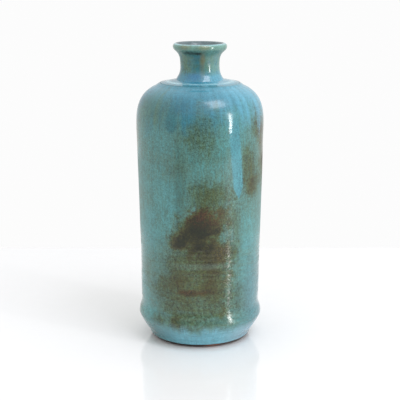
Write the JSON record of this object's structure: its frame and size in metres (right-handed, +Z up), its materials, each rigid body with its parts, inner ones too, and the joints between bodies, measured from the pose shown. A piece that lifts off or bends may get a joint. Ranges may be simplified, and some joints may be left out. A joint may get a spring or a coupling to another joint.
{
  "type": "bud vase",
  "caption": "Bottle-shaped bud vase with a flared lip, narrow neck, flat ledge, tall straight body and chamfered foot, in a mottled turquoise glaze with brown and blue runs.",
  "frame": {"origin": "centre of the foot ring, on the surface that the vase stands on", "axes": "+Z up along the turning axis, -Y towards the front with the brown patch, +X to the right of the front"},
  "size_m": [0.1026, 0.1026, 0.24],
  "materials": {
    "red_stoneware": "bare fired red stoneware, dry and fine-grained",
    "joining_slip": "fired slip of the same red clay",
    "turquoise_glaze": "glossy mottled turquoise over iron brown",
    "grey_green_glaze": "glossy grey-green, breaking brown at the lip",
    "blue_glaze": "glossy sky blue where the glaze has gathered",
    "liner_glaze": "satin grey-green liner"
  },
  "bodies": {
    "root": {"base_bowl": "red_stoneware", "body_wall": "red_stoneware", "neck_collar": "red_stoneware", "lower_slip_seam": "joining_slip", "upper_slip_seam": "joining_slip", "body_glaze_coat": "turquoise_glaze", "neck_glaze_coat": "grey_green_glaze", "foot_glaze_roll": "blue_glaze", "blue_glaze_run": "blue_glaze", "liner_glaze": "liner_glaze"}
  },
  "joints": []
}
